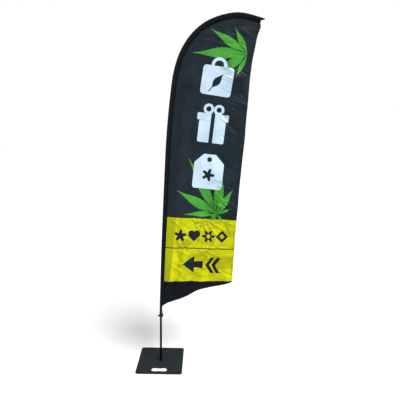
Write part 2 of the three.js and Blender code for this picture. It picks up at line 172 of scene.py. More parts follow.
def seam_offset(share):
    """How far the seam lies from the pole's centreline, in metres."""
    return np.interp(share, SEAM_SHARE, SEAM_OFFSET) * MM


def beside_pole(share, offset):
    """Points in the XZ plane beside the pole, on the cloth's side of it."""
    s = SLEEVE_FROM + share * SLEEVE_LENGTH
    tangent = POLE.tangent(s)
    across = np.stack([tangent[..., 1], -tangent[..., 0]], -1)
    return POLE.at(s) + across * np.asarray(offset)[..., None]


def seam_at(share):
    return beside_pole(share, seam_offset(share))


LOWER = Track([seam_at(np.array(0.0)) / MM, *LOWER_EDGE, LOW_CORNER])
TRAILING = Track([LOW_CORNER, *TRAILING_EDGE, seam_at(np.array(1.0)) / MM])


# ------------------------------------------------------------------ meshes


def new_piece(name, vertices, faces, material, smooth=True):
    mesh = bpy.data.meshes.new(name)
    mesh.from_pydata([tuple(v) for v in vertices], [], [tuple(f) for f in faces])
    mesh.validate()
    mesh.polygons.foreach_set("use_smooth", [smooth] * len(mesh.polygons))
    mesh.materials.append(material)
    piece = bpy.data.objects.new(name, mesh)
    bpy.context.scene.collection.objects.link(piece)
    return piece


def grid_faces(rows, columns, closed=False):
    """Quads of a grid of rows x columns points; closed joins the last column to the first."""
    across = columns if closed else columns - 1
    r, c = np.meshgrid(np.arange(rows - 1), np.arange(across), indexing="ij")
    a = r * columns + c
    b = r * columns + (c + 1) % columns
    return np.stack([a, b, b + columns, a + columns], -1).reshape(-1, 4)


def tube_faces(rows, sides, start_cap=True):
    """Faces of a tube made of rings, with a cap on its end and, if wanted, on its start."""
    faces = [tuple(face) for face in grid_faces(rows, sides, closed=True)]
    if start_cap:
        faces.append(tuple(range(sides))[::-1])
    faces.append(tuple((rows - 1) * sides + k for k in range(sides)))
    return faces


def store(piece, name, values):
    """Keeps a vector per point in a named attribute, for the material to read."""
    attribute = piece.data.attributes.new(name, "FLOAT_VECTOR", "POINT")
    attribute.data.foreach_set("vector", np.asarray(values, np.float32).ravel())


def thicken(piece, thickness, offset=0):
    modifier = piece.modifiers.new("thickness", "SOLIDIFY")
    modifier.thickness = thickness
    modifier.offset = offset
    modifier.use_even_offset = True


# ------------------------------------------------------------------ shape of the cloth


def ridge(x, z, crease):
    """Height of one crease: a soft ridge along a short straight line."""
    x0, z0, angle, length, width, height = crease
    along = (x - x0) * math.cos(angle) + (z - z0) * math.sin(angle)
    across = (z - z0) * math.cos(angle) - (x - x0) * math.sin(angle)
    return height * np.exp(-((across / width) ** 2) - (2 * along / length) ** 4)


def random_creases(rng, count, x_range, z_range, angles, lengths, widths, heights):
    """Creases scattered over a rectangle; sizes in mm, angles in degrees."""
    creases = []
    for _ in range(count):
        x0 = rng.uniform(*x_range) * MM
        z0 = rng.uniform(*z_range) * MM
        angle = math.radians(rng.uniform(*angles))
        length = rng.uniform(*lengths) * MM
        width = rng.uniform(*widths) * MM
        height = rng.uniform(*heights) * MM * rng.choice([-1, 1])
        creases.append((x0, z0, angle, length, width, height))
    return creases


def fan_crease(start, degrees, length, width, height):
    """A crease that leaves a point at an angle; sizes in mm."""
    angle = math.radians(degrees)
    x0 = (start[0] + 0.55 * length * math.cos(angle)) * MM
    z0 = (start[1] + 0.55 * length * math.sin(angle)) * MM
    return x0, z0, angle, length * MM, width * MM, height * MM


def window(values, low, high, fade):
    """1 between low and high, falling smoothly to 0 over fade outside them."""
    rise = np.clip((values - low) / fade + 1, 0, 1)
    fall = np.clip((high - values) / fade + 1, 0, 1)
    return (rise * rise * (3 - 2 * rise)) * (fall * fall * (3 - 2 * fall))


def facets(x, z, rng, cell, height):
    """Flat triangles between straight fold marks, as packed cloth keeps them; cell and height in mm."""
    wander = 0.28 * cell * MM
    p = (x + wander * np.sin(7.1 * z + 1.3) + 0.4 * wander * np.sin(19 * x + 11 * z)) / (cell * MM)
    q = (z + wander * np.sin(8.3 * x + 0.6) + 0.4 * wander * np.sin(23 * z - 9 * x)) / (1.15 * cell * MM)
    levels = rng.uniform(-1, 1, (64, 64))
    i, j = np.floor(p).astype(int), np.floor(q).astype(int)
    s, t = p - i, q - j
    corner = [levels[(i + di) % 64, (j + dj) % 64] for di, dj in ((0, 0), (1, 0), (0, 1), (1, 1))]
    low = corner[0] + np.where(
        s > t,
        s * (corner[1] - corner[0]) + t * (corner[3] - corner[1]),
        t * (corner[2] - corner[0]) + s * (corner[3] - corner[2]),
    )
    return low * height * MM


def cloth_height(x, z, from_seam):
    """How far the cloth stands from the flag's flat plane, in metres, towards +Y."""
    rng = np.random.default_rng(11)
    y = 10 * MM * np.sin(2.1 * z + 1.2 * x - 1.5) * np.clip(from_seam / 0.3, 0, 1)
    crest = np.interp(z, np.array(FOLD_HEIGHTS) * MM, np.array(FOLD_WIDTH) * MM)
    fold = np.clip(from_seam / crest, 0, 1) - np.clip((from_seam - crest) / 0.16, 0, 1)
    y -= 12 * MM * fold * window(z, 0.6, 2.1, 0.3)
    for group in CREASE_GROUPS:
        for crease in random_creases(rng, *group):
            y += ridge(x, z, crease)
    for start, angles, *sizes in CREASE_FANS:
        for angle in angles:
            y += ridge(x, z, fan_crease(start, angle, *sizes))
    past_fold = np.clip((from_seam - crest) / 0.05, 0, 1)
    outer_half = np.clip((from_seam - 0.2) / 0.2, 0, 1)
    off_pole = np.clip(from_seam / 0.1, 0, 1)
    y += facets(x, z, rng, 50, 10) * window(z, 0.72, 1.25, 0.05) * past_fold
    y += facets(x, z, rng, 88, 14) * window(z, 1.3, 2.6, 0.08) * outer_half
    y += facets(x, z, rng, 84, 7) * window(z, 0.5, 2.7, 0.1) * past_fold
    y += facets(x, z, rng, 62, 12) * window(z, 0.45, 0.66, 0.05) * off_pole
    held_by_seam = np.clip(from_seam / 0.012, 0, 1)
    return y * held_by_seam


def panel_grid(u, v):
    """The flat cloth at u across from the seam and v up it: its XZ, and the way from the seam."""
    seam = seam_at(v)
    trail = TRAILING.at(v * TRAILING.length)
    low = LOWER.at(u * LOWER.length)
    straight = seam_at(np.zeros_like(u)) * (1 - u)[..., None] + TRAILING.at(np.zeros_like(u)) * u[..., None]
    flat = seam * (1 - u)[..., None] + trail * u[..., None] + (low - straight) * ((1 - v) ** 3)[..., None]
    return flat, u * np.linalg.norm(trail - seam, axis=-1)


def panel_point(u, v):
    """The wrinkled cloth at u across and v up."""
    flat, from_seam = panel_grid(u, v)
    height = cloth_height(flat[..., 0], flat[..., 1], from_seam)
    return np.stack([flat[..., 0], height, flat[..., 1]], -1)


def print_place(u, v):
    """What the printed material reads at each point: X, the way from the seam, and Z."""
    flat, from_seam = panel_grid(u, v)
    return np.stack([flat[..., 0], from_seam, flat[..., 1]], -1)


# ------------------------------------------------------------------ shader fields


class Field:
    """A number that varies over a surface, made of Math nodes, with arithmetic written plainly."""

    def __init__(self, tree, socket):
        self.tree = tree
        self.socket = socket

    def math(self, operation, *others, clamp=False):
        node = self.tree.nodes.new("ShaderNodeMath")
        node.operation = operation
        node.use_clamp = clamp
        for slot, value in zip(node.inputs, (self, *others)):
            if isinstance(value, Field):
                self.tree.links.new(value.socket, slot)
            else:
                slot.default_value = value
        return Field(self.tree, node.outputs[0])

    def __add__(self, other):
        return self.math("ADD", other)

    def __sub__(self, other):
        return self.math("SUBTRACT", other)

    def __mul__(self, other):
        return self.math("MULTIPLY", other)

    def __abs__(self):
        return self.math("ABSOLUTE")

    def min(self, other):
        return self.math("MINIMUM", other)

    def max(self, other):
        return self.math("MAXIMUM", other)

    def power(self, exponent):
        return self.math("POWER", exponent)


EDGE = 1.2 * MM


def inside(distance):
    """1 inside a shape and 0 outside, with a soft edge as wide as a thread."""
    return (distance * (-1 / EDGE)).math("ADD", 0.5, clamp=True)


def turned(x, z, centre, degrees=0):
    """Coordinates in metres from a centre in mm, turned anticlockwise."""
    dx = x - centre[0] * MM
    dz = z - centre[1] * MM
    c, s = math.cos(math.radians(degrees)), math.sin(math.radians(degrees))
    return dx * c + dz * s, dz * c - dx * s


def disc(x, z, radius):
    return (x * x + z * z).math("SQRT") - radius * MM


def block(x, z, half_x, half_z, corner=0):
    """A rectangle with round corners."""
    qx = abs(x) - (half_x - corner) * MM
    qz = abs(z) - (half_z - corner) * MM
    ox, oz = qx.max(0), qz.max(0)
    return (ox * ox + oz * oz).math("SQRT") + qx.max(qz).min(0) - corner * MM


def ring(x, z, radius, stroke):
    return abs(disc(x, z, radius)) - stroke / 2 * MM


def rosette(x, z, radius, points, depth):
    """A closed outline whose radius swells and shrinks around the centre."""
    angle = z.math("ARCTAN2", x)
    swing = (angle * points).math("COSINE") * (depth * MM)
    return (x * x + z * z).math("SQRT") - swing - radius * MM


def leaflet(x, z, root, tip, half_width):
    """A leaflet from its root to its tip, widest past the middle, with a faintly toothed edge."""
    length = math.dist(root, tip)
    angle = math.degrees(math.atan2(tip[1] - root[1], tip[0] - root[0]))
    along, across = turned(x, z, root, angle)
    share = (along * (1 / (length * MM))).max(0.0).min(1.0)
    belly = (share.power(0.86) * math.pi).math("SINE").max(0.0)
    teeth = (share * 70).math("SINE") * 0.04 + 1
    stalk = 0.06 * half_width * MM
    outline = abs(across) - (belly.power(1.75) * teeth * (half_width * MM) + stalk)
    return outline.max(along * -1).max(along - length * MM)


def union(shapes):
    total = shapes[0]
    for shape in shapes[1:]:
        total = total.min(shape)
    return total


# ------------------------------------------------------------------ print on the cloth

# Each picture's centre in mm on the flag's plane, and how far it leans in degrees.
BAG_PLACE = ((435, 2357), -8)
GIFT_PLACE = ((401, 2004), -6)
TAG_PLACE = ((378, 1638), -5)

# Each leaf, in mm on the flag's plane: its root, (tip, half width) of its leaflets, and the ends of the
# dark slits that part them near the root.
UPPER_LEAF = [
    (655, 2530),
    [((247, 2533), 38), ((377, 2706), 29), ((556, 2716), 20), ((410, 2372), 31), ((575, 2358), 17)],
    [(515, 2572), (578, 2612), (592, 2436)],
]
LOWER_LEAF = [
    (450, 1292),
    [((185, 1288), 21), ((131, 1481), 36), ((222, 1738), 36), ((486, 1640), 36), ((577, 1492), 26),
     ((568, 1337), 12), ((400, 1232), 20), ((503, 1232), 9)],
    [(345, 1332), (392, 1406), (453, 1410), (508, 1385), (340, 1302)],
]


def leaf_shape(x, z, leaf):
    root, leaflets, leaf_slits = leaf
    shape = union([leaflet(x, z, root, tip, half) for tip, half in leaflets])
    slits = [leaflet(x, z, root, end, 3.5) for end in leaf_slits]
    return shape.max(union(slits) * -1)


def both_leaves(x, z):
    """The two leaves; the upper one is cut off along a straight line beside the trailing edge."""
    upper = leaf_shape(x, z, UPPER_LEAF).max(x + z * 0.166 - 1094 * MM)
    return upper.min(leaf_shape(x, z, LOWER_LEAF))


def bag_shape(x, z):
    """A shopping bag with a leaf cut out of it."""
    body = block(x, z + 30 * MM, 118, 108, 26)
    strap = ring(x, z - 84 * MM, 48, 23).max(z * -1 + 60 * MM)
    mark = leaflet(x, z, (-34, -84), (40, 28), 25)
    stalk = block(*turned(x, z, (-44, -98), 56), 20, 4)
    return body.min(strap).max(mark.min(stalk) * -1)


def gift_shape(x, z):
    """A wrapped box with a ribbon and a bow."""
    body = block(x, z + 60 * MM, 104, 84, 12)
    lid = block(x, z - 52 * MM, 122, 27, 10)
    loops = ring(abs(x) - 40 * MM, z - 112 * MM, 30, 20)
    ribbon = block(x, z + 34 * MM, 15, 113)
    return body.min(lid).max(ribbon * -1).min(loops)


def tag_shape(x, z):
    """A price tag with its hole and a flower cut out of it."""
    body = block(x, z + 4 * MM, 118, 138, 22)
    shoulders = (abs(x) + z) * math.sqrt(0.5) - 128 * MM
    eyelet = disc(x, z - 92 * MM, 19)
    flower = rosette(x, z + 30 * MM, 38, 5, 15)
    return body.max(shoulders).max(eyelet.min(flower) * -1)


def small_shapes(x, z):
    """The upper row on the block: a star, a heart, a flower and a diamond."""
    star = rosette(*turned(x, z, (160, 1113), 12), 38, 5, 14)
    sx, sz = turned(x, z, (271, 1110), -3)
    lobes = disc(abs(sx) - 21 * MM, sz - 18 * MM, 27)
    point = (abs(sx) * 0.76 - (sz + 52 * MM) * 0.65).max(sz - 6 * MM)
    heart = lobes.min(point)
    petals = rosette(*turned(x, z, (388, 1106), 0), 40, 6, 13)
    eye = disc(*turned(x, z, (388, 1106)), 17)
    flower = petals.max(eye * -1)
    dx, dz = turned(x, z, (499, 1103), 45)
    diamond = block(dx, dz, 37, 37, 4).max(block(dx, dz, 16, 16, 2) * -1)
    return union([star, heart, flower, diamond])


def arrow_shape(x, z):
    """The lower row on the block: a bold arrow that points to the pole, with two chevrons behind it."""
    ax, az = turned(x, z, (300, 864), -2)
    head = (abs(az) * 0.8 - (ax + 122 * MM) * 0.6).max(ax + 26 * MM)
    shaft = block(ax - 6 * MM, az, 40, 28)
    chevrons = []
    for start in (82, 132):
        lean = abs(az) * 0.55 - (ax - start * MM) * 0.83
        chevrons.append((abs(lean) - 13 * MM).max(abs(az) - 66 * MM))
    return union([head, shaft, *chevrons])


def all_pictures(x, z):
    bag = bag_shape(*turned(x, z, *BAG_PLACE))
    gift = gift_shape(*turned(x, z, *GIFT_PLACE))
    tag = tag_shape(*turned(x, z, *TAG_PLACE))
    return union([bag, gift, tag])


def yellow_block(x, z):
    """The yellow block: between two slanting lines across the whole cloth."""
    top = z - (x * -0.0392 + 1265 * MM)
    bottom = (x * 0.0125 + 718 * MM) - z
    return top.max(bottom)


def divider(x, z):
    """A thin line across the block."""
    return abs(z - (x * -0.0197 + 1009 * MM)) - 3.8 * MM


def mix(tree, factor, below, above):
    """Colour: above where factor is 1, and below elsewhere."""
    node = tree.nodes.new("ShaderNodeMix")
    node.data_type = "RGBA"
    for slot, value in ((node.inputs[0], factor), (node.inputs[6], below), (node.inputs[7], above)):
        if isinstance(value, Field):
            tree.links.new(value.socket, slot)
        elif isinstance(value, bpy.types.NodeSocket):
            tree.links.new(value, slot)
        else:
            slot.default_value = value if not isinstance(value, tuple) else (*value, 1)
    return node.outputs[2]


# ------------------------------------------------------------------ materials


def start_material(name, roughness, metallic=0.0, **sockets):
    """A material with one Principled shader; values that are even over the surface sit on it."""
    material = bpy.data.materials.new(name)
    material.use_nodes = True
    tree = material.node_tree
    shader = tree.nodes["Principled BSDF"]
    shader.inputs["Roughness"].default_value = roughness
    shader.inputs["Metallic"].default_value = metallic
    for socket, value in sockets.items():
        shader.inputs[socket.replace("_", " ")].default_value = value
    return material, tree, shader


def position(tree):
    """The point on the surface, in the object's own frame."""
    return tree.nodes.new("ShaderNodeTexCoord").outputs["Object"]


def noise(tree, vector, scale, detail=3.0, roughness=0.5):
    node = tree.nodes.new("ShaderNodeTexNoise")
    tree.links.new(vector, node.inputs["Vector"])
    node.inputs["Scale"].default_value = scale
    node.inputs["Detail"].default_value = detail
    node.inputs["Roughness"].default_value = roughness
    return Field(tree, node.outputs[0])


def stretched(tree, vector, scale):
    node = tree.nodes.new("ShaderNodeMapping")
    node.inputs["Scale"].default_value = scale
    tree.links.new(vector, node.inputs["Vector"])
    return node.outputs[0]


def shade(tree, field, dark, light, low=0.3, high=0.7):
    """A colour between dark and light, as the field goes from low to high."""
    ramp = tree.nodes.new("ShaderNodeValToRGB")
    tree.links.new(field.socket, ramp.inputs[0])
    ramp.color_ramp.elements[0].position = low
    ramp.color_ramp.elements[0].color = (*dark, 1)
    ramp.color_ramp.elements[1].position = high
    ramp.color_ramp.elements[1].color = (*light, 1)
    return ramp.outputs[0]


def paint(tree, shader, colour):
    tree.links.new(colour, shader.inputs["Base Color"])


def bump(tree, shader, height, strength, distance):
    node = tree.nodes.new("ShaderNodeBump")
    node.inputs["Strength"].default_value = strength
    node.inputs["Distance"].default_value = distance
    tree.links.new(height.socket, node.inputs["Height"])
    tree.links.new(node.outputs[0], shader.inputs["Normal"])


def vary_roughness(tree, shader, field, low, high):
    node = tree.nodes.new("ShaderNodeMapRange")
    tree.links.new(field.socket, node.inputs[0])
    node.inputs[1].default_value = 0.3
    node.inputs[2].default_value = 0.7
    node.inputs[3].default_value = low
    node.inputs[4].default_value = high
    tree.links.new(node.outputs[0], shader.inputs["Roughness"])


def axes_of(tree, vector):
    node = tree.nodes.new("ShaderNodeSeparateXYZ")
    tree.links.new(vector, node.inputs[0])
    return [Field(tree, socket) for socket in node.outputs]


def weave(x, z, pitch):
    """Height of a plain weave or knit: threads over and under at a pitch in mm."""
    turns = 2 * math.pi / (pitch * MM)
    across = (x * turns).math("SINE")
    along = (z * turns).math("SINE")
    return across * along


# Inks of the print, in linear RGB. The second is a painted shade of the first, which darkens the cloth
# below the block and at the tip's corner.
INK = (0.0088, 0.0155, 0.0208)
INK_IN_PAINTED_SHADE = (0.0010, 0.0028, 0.0046)
GREEN_DARK = (0.034, 0.20, 0.020)
GREEN_LIGHT = (0.054, 0.275, 0.032)
WHITE_INK = (0.44, 0.565, 0.69)
# The yellow of the open cloth, a painted shade of it for the fold beside the seam, a painted highlight of
# it for that fold's crest, and the yellow of the dark rectangle.
YELLOW = (0.385, 0.40, 0.0003)
YELLOW_SHADED = (0.325, 0.338, 0.0002)
YELLOW_LIT = (0.46, 0.47, 0.002)
YELLOW_DARK = (0.29, 0.30, 0.0002)
DARK_MARK = (0.006, 0.010, 0.015)


def scaled(colour, factor):
    return tuple(channel * factor for channel in colour)


def dappled(tree, field, colour, spread):
    """A colour that the field makes a little darker and lighter."""
    return shade(tree, field, scaled(colour, 1 - spread), scaled(colour, 1 + spread))


def printed_cloth():
    """Knitted polyester with the whole print dyed into it, so that it shows on both faces; painted shade
    and a painted highlight are mixed into the print's colours.
    """
    material, tree, shader = start_material(
        "printed_cloth", 0.5, Specular_IOR_Level=0.10, Sheen_Weight=0.01, Sheen_Roughness=0.4
    )
    place = tree.nodes.new("ShaderNodeAttribute")
    place.attribute_name = "print_place"
    x, from_seam, z = axes_of(tree, place.outputs["Vector"])
    patchy = noise(tree, position(tree), 9, 4, 0.6)
    fine = noise(tree, position(tree), 240, 2)

    # Painted shade inside the soft fold beside the seam, and a painted highlight on the fold's crest just
    # past it.
    widening = (FOLD_WIDTH[1] - FOLD_WIDTH[0]) / (FOLD_HEIGHTS[1] - FOLD_HEIGHTS[0])
    to_fold = (z - FOLD_HEIGHTS[0] * MM) * widening + FOLD_WIDTH[0] * MM - from_seam
    in_fold = (to_fold * (1 / (8 * MM))).math("ADD", 0.5, clamp=True)
    painted_crest_highlight = (to_fold * (1 / (34 * MM))).math("ADD", 1.0, clamp=True)
    dark_patch = inside(block(*turned(x, z, DARK_PATCH[0], -1), DARK_PATCH[1], DARK_PATCH[2], 4))
    yellow = mix(tree, painted_crest_highlight, dappled(tree, patchy, YELLOW, 0.08), YELLOW_LIT)
    yellow = mix(tree, in_fold, yellow, dappled(tree, patchy, YELLOW_SHADED, 0.08))
    yellow = mix(tree, dark_patch, yellow, dappled(tree, patchy, YELLOW_DARK, 0.05))

    # Painted shade: the black cloth is painted darker below the yellow block and towards the tip's corner,
    # where shade falls.
    below = ((z - 740 * MM) * (-1 / (60 * MM))).math("ADD", 0.5, clamp=True)
    tip_corner = ((x + z - 3340 * MM) * (1 / (200 * MM))).max(0.0).min(1.0) * 0.55
    painted_shade_ink = dappled(tree, patchy, INK_IN_PAINTED_SHADE, 0.2)
    ink_and_painted_shade = mix(tree, below.max(tip_corner), dappled(tree, patchy, INK, 0.22), painted_shade_ink)
    marks = union([small_shapes(x, z), arrow_shape(x, z), divider(x, z)])
    green = shade(tree, patchy, GREEN_DARK, GREEN_LIGHT, 0.35, 0.6)
    colour = mix(tree, inside(yellow_block(x, z)), ink_and_painted_shade, yellow)
    colour = mix(tree, inside(both_leaves(x, z)), colour, green)
    colour = mix(tree, inside(all_pictures(x, z)), colour, dappled(tree, patchy, WHITE_INK, 0.03))
    colour = mix(tree, inside(marks), colour, dappled(tree, patchy, DARK_MARK, 0.1))
    paint(tree, shader, colour)

    threads = weave(x, z, 1.6) * 0.5 + fine
    vary_roughness(tree, shader, patchy, 0.42, 0.56)
    bump(tree, shader, threads, 0.25, 0.0004)
    return material


def black_cloth(name, colour, roughness, pitch):
    """Plain black cloth or tape with its weave."""
    material, tree, shader = start_material(
        name, roughness, Specular_IOR_Level=0.05, Sheen_Weight=0.01, Sheen_Roughness=0.45
    )
    at = position(tree)
    x, _, z = axes_of(tree, at)
    patchy = noise(tree, at, 26, 4, 0.6)
    base = shade(tree, patchy, scaled(colour, 0.75), scaled(colour, 1.3))
    paint(tree, shader, base)
    vary_roughness(tree, shader, patchy, roughness - 0.08, roughness + 0.08)
    bump(tree, shader, weave(x, z, pitch) * 0.5 + noise(tree, at, 420, 2), 0.4, 0.0005)
    return material


def sleeve_cloth():
    """Black sleeve cloth, with painted shade that makes it darkest in the groove where it meets the panel's
    seam.
    """
    material, tree, shader = start_material(
        "sleeve_cloth", 0.62, Specular_IOR_Level=0.04, Sheen_Weight=0.01, Sheen_Roughness=0.45
    )
    place = tree.nodes.new("ShaderNodeAttribute")
    place.attribute_name = "sleeve_place"
    _, from_groove, _ = axes_of(tree, place.outputs["Vector"])
    at = position(tree)
    x, _, z = axes_of(tree, at)
    patchy = noise(tree, at, 26, 4, 0.6)
    base = dappled(tree, patchy, (0.0052, 0.0078, 0.0088), 0.3)
    # Painted shade in the groove at the seam.
    groove = (abs(from_groove) * (-1 / (9 * MM))).math("ADD", 1.2, clamp=True)
    base = mix(tree, groove, base, (0.0018, 0.0024, 0.0028))
    paint(tree, shader, base)
    vary_roughness(tree, shader, patchy, 0.54, 0.7)
    bump(tree, shader, weave(x, z, 1.4) * 0.5 + noise(tree, at, 420, 2), 0.4, 0.0005)
    return material


def thread():
    """Twisted sewing thread."""
    material, tree, shader = start_material("thread", 0.6, Sheen_Weight=0.2)
    at = position(tree)
    twist = noise(tree, stretched(tree, at, (1, 1, 4)), 600, 2)
    base = shade(tree, twist, (0.008, 0.010, 0.012), (0.035, 0.040, 0.046))
    paint(tree, shader, base)
    bump(tree, shader, twist, 0.5, 0.0002)
    return material


def powder_coat():
    """Fine-textured grey powder coat, rubbed a little paler in patches, with dark rims of painted shade at
    the peg holes.
    """
    material, tree, shader = start_material("powder_coat", 0.55, Specular_IOR_Level=0.16)
    at = position(tree)
    clouds = noise(tree, at, 5, 5, 0.6)
    grain = noise(tree, at, 900, 2)
    specks = noise(tree, at, 140, 3, 0.7)
    base = shade(tree, clouds, (0.0062, 0.0095, 0.0112), (0.0092, 0.0133, 0.0155))
    worn = (specks - 0.66).math("MULTIPLY", 9, clamp=True) * 0.5
    base = mix(tree, worn, base, (0.026, 0.032, 0.035))
    x, y, _ = axes_of(tree, at)
    offset = PEG_HOLE_OFFSET * MM
    # Painted shade: a dark rim round each peg hole makes the hole look dark.
    rim = inside(disc(abs(x) - offset, abs(y) - offset, PEG_HOLE_RIM))
    base = mix(tree, rim, base, (0.002, 0.002, 0.002))
    paint(tree, shader, base)
    vary_roughness(tree, shader, clouds, 0.46, 0.62)
    bump(tree, shader, grain + specks * 0.6, 0.35, 0.0004)
    return material


def black_tube(name, colour, roughness):
    """A drawn or turned black part, with faint lines along it and rubbed marks."""
    material, tree, shader = start_material(name, roughness, Specular_IOR_Level=0.015)
    at = position(tree)
    lines = noise(tree, stretched(tree, at, (500, 500, 6)), 1, 3)
    marks = noise(tree, stretched(tree, at, (60, 60, 18)), 1, 5, 0.65)
    base = shade(tree, marks, colour, scaled(colour, 2.1), 0.45, 0.75)
    paint(tree, shader, base)
    vary_roughness(tree, shader, marks, roughness - 0.08, roughness + 0.14)
    bump(tree, shader, lines, 0.15, 0.0002)
    return material


def bright_steel():
    """Turned and ground steel."""
    material, tree, shader = start_material("bright_steel", 0.3, 1.0)
    at = position(tree)
    rings = noise(tree, stretched(tree, at, (30, 30, 2600)), 1, 2)
    stain = noise(tree, at, 55, 4, 0.6)
    base = shade(tree, stain, (0.36, 0.37, 0.38), (0.58, 0.59, 0.60))
    paint(tree, shader, base)
    vary_roughness(tree, shader, stain, 0.22, 0.4)
    bump(tree, shader, rings, 0.2, 0.0002)
    return material


def moulded_plastic(name, colour, roughness):
    """Black nylon or rubber with a fine moulded grain and paler scuffs."""
    material, tree, shader = start_material(name, roughness, Specular_IOR_Level=0.14)
    at = position(tree)
    grain = noise(tree, at, 1500, 2)
    scuffs = noise(tree, stretched(tree, at, (1, 1, 0.4)), 130, 5, 0.7)
    base = shade(tree, scuffs, colour, scaled(colour, 2.6), 0.55, 0.8)
    paint(tree, shader, base)
    vary_roughness(tree, shader, scuffs, roughness - 0.06, roughness + 0.14)
    bump(tree, shader, grain + scuffs * 0.4, 0.3, 0.0002)
    return material


def braided_cord():
    """Elastic cord in a braided cover."""
    material, tree, shader = start_material("braided_cord", 0.7, Sheen_Weight=0.3)
    at = position(tree)
    x, y, z = axes_of(tree, at)
    turns = 2 * math.pi / (1.7 * MM)
    braid = ((z + y) * turns).math("SINE") * ((z - y + x) * turns).math("SINE")
    # Painted shade: the colour follows the braid's bump, darker in the hollows between the strands.
    base = shade(tree, braid * 0.5 + 0.5, (0.006, 0.007, 0.008), (0.030, 0.034, 0.038), 0.2, 0.9)
    paint(tree, shader, base)
    bump(tree, shader, braid, 0.5, 0.0003)
    return material


# ------------------------------------------------------------------ camera, stage and lights


# Metres, degrees below level, and degrees of lean to one side.
CAMERA_PLACE = (0.315, -2.8584, 1.848)
CAMERA_DOWN = 8.786
CAMERA_LEAN = -0.9
LENS_MM = 32.4


def set_camera():
    """The camera, 2.9 m in front of the flag at eye height, leaned a little to one side."""
    data = bpy.data.cameras.new("camera")
    data.sensor_width = 36
    data.lens = LENS_MM
    camera = bpy.data.objects.new("camera", data)
    bpy.context.scene.collection.objects.link(camera)
    down = math.radians(CAMERA_DOWN)
    lean = math.radians(CAMERA_LEAN)
    look = Vector((0, math.cos(down), -math.sin(down)))
    up = Vector((0, math.sin(down), math.cos(down)))
    right = Vector((1, 0, 0))
    camera_x = math.cos(lean) * right - math.sin(lean) * up
    camera_y = math.sin(lean) * right + math.cos(lean) * up
    turn = Matrix((camera_x, camera_y, -look)).transposed()
    camera.matrix_world = Matrix.Translation(CAMERA_PLACE) @ turn.to_4x4()
    bpy.context.scene.camera = camera


def pale_floor():
    """A wide pale floor."""
    reach = 60
    corners = [(-reach, -reach, 0), (reach, -reach, 0), (reach, reach, 0), (-reach, reach, 0)]
    material, tree, shader = start_material("floor_paint", 0.9, Specular_IOR_Level=0.0)
    tone = noise(tree, position(tree), 0.8, 2)
    paint(tree, shader, shade(tree, tone, (0.61, 0.61, 0.61), (0.63, 0.63, 0.63)))
    new_piece("floor", corners, [(0, 1, 2, 3)], material)


def soft_sun(name, towards, strength, spread):
    """A distant lamp whose light comes from a direction; spread in degrees softens its shadows."""
    data = bpy.data.lights.new(name, "SUN")
    data.energy = strength
    data.angle = math.radians(spread)
    lamp = bpy.data.objects.new(name, data)
    bpy.context.scene.collection.objects.link(lamp)
    lamp.rotation_euler = Vector(towards).to_track_quat("Z", "Y").to_euler()


def soft_studio():
    """A white surround, dimmer as a light than it looks, and one large key lamp from the right."""
    world = bpy.data.worlds.new("studio")
    world.use_nodes = True
    bpy.context.scene.world = world
    tree = world.node_tree
    background = tree.nodes["Background"]
    background.inputs["Color"].default_value = (1, 1, 1, 1)
    seen = tree.nodes.new("ShaderNodeLightPath")
    strength = tree.nodes.new("ShaderNodeMapRange")
    tree.links.new(seen.outputs["Is Camera Ray"], strength.inputs[0])
    strength.inputs[3].default_value = 0.30
    strength.inputs[4].default_value = 1.0
    tree.links.new(strength.outputs[0], background.inputs["Strength"])
    soft_sun("key", (0.46, -0.35, 0.82), 6.5, 36)
    bpy.context.scene.view_settings.view_transform = "Standard"


# ------------------------------------------------------------------ cloth pieces


def make_panel(material):
    """The printed cloth: one creased sheet from the sleeve's seam to the trailing edge."""
    u, v = np.meshgrid(np.linspace(0, 1, PANEL_COLUMNS), np.linspace(0, 1, PANEL_ROWS))
    points = panel_point(u, v).reshape(-1, 3)
    panel = new_piece("printed_panel", points, grid_faces(PANEL_ROWS, PANEL_COLUMNS), material)
    store(panel, "print_place", print_place(u, v))
    thicken(panel, CLOTH_THICKNESS * MM)
    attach(panel, "pole")
    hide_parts("flag_panel")
    return panel


def edge_strip(name, u, v, inward_u, inward_v, material):
    """A folded hem: a flat tube that wraps the cloth's edge, from points along it and points inside it."""
    edge = panel_point(u, v)
    inner = panel_point(inward_u, inward_v)
    along = inner - edge
    reach = np.linalg.norm(along, axis=-1, keepdims=True)
    along = along / np.maximum(reach, 1e-9)
    front = [(0.0, 0.8), (0.45, 1), (0.95, 0.9), (1.0, 0.45)]
    section = [(-0.06, 0), *front, *[(share, -side) for share, side in reversed(front)]]
    loop = []
    for share, side in section:
        loop.append(edge + along * (share * reach) + Y_AXIS * (side * HEM_HALF_THICKNESS * MM))
    rings = np.stack(loop, 1)
    count, sides = rings.shape[:2]
    strip = new_piece(name, rings.reshape(-1, 3), tube_faces(count, sides), material)
    store(strip, "print_place", np.repeat(print_place(u, v), sides, axis=0))
    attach(strip, "pole")
    return strip


def make_hems(material):
    """The hems along the trailing edge and the lower edge."""
    count = 420
    v = np.linspace(0, 0.985, count)
    width = np.linalg.norm(TRAILING.at(v * TRAILING.length) - seam_at(v), axis=-1)
    inward = 1 - np.minimum(HEM_WIDTH * MM / width, 0.4)
    trailing = edge_strip("trailing_hem", np.ones(count), v, inward, v, material)
    u = np.linspace(0.03, 1, 120)
    height = np.full_like(u, HEM_WIDTH / PANEL_RISE)
    lower = edge_strip("lower_hem", u, np.zeros_like(u), u, height, material)
    return [trailing, lower]


def teardrop_ring(offset, radius, tail_half, count=26):
    """Section of the sleeve: round at the pole, drawn in to the seam. Points as (across, y)."""
    touch = math.acos((radius - tail_half) / offset)
    points = []
    for angle in np.linspace(touch, 2 * math.pi - touch, count - 4):
        points.append((radius * math.cos(angle), radius * math.sin(angle)))
    points.append((offset * 0.8, -tail_half * 1.3))
    points.append((offset, -tail_half))
    points.append((offset, tail_half))
    points.append((offset * 0.8, tail_half * 1.3))
    return np.array(points)


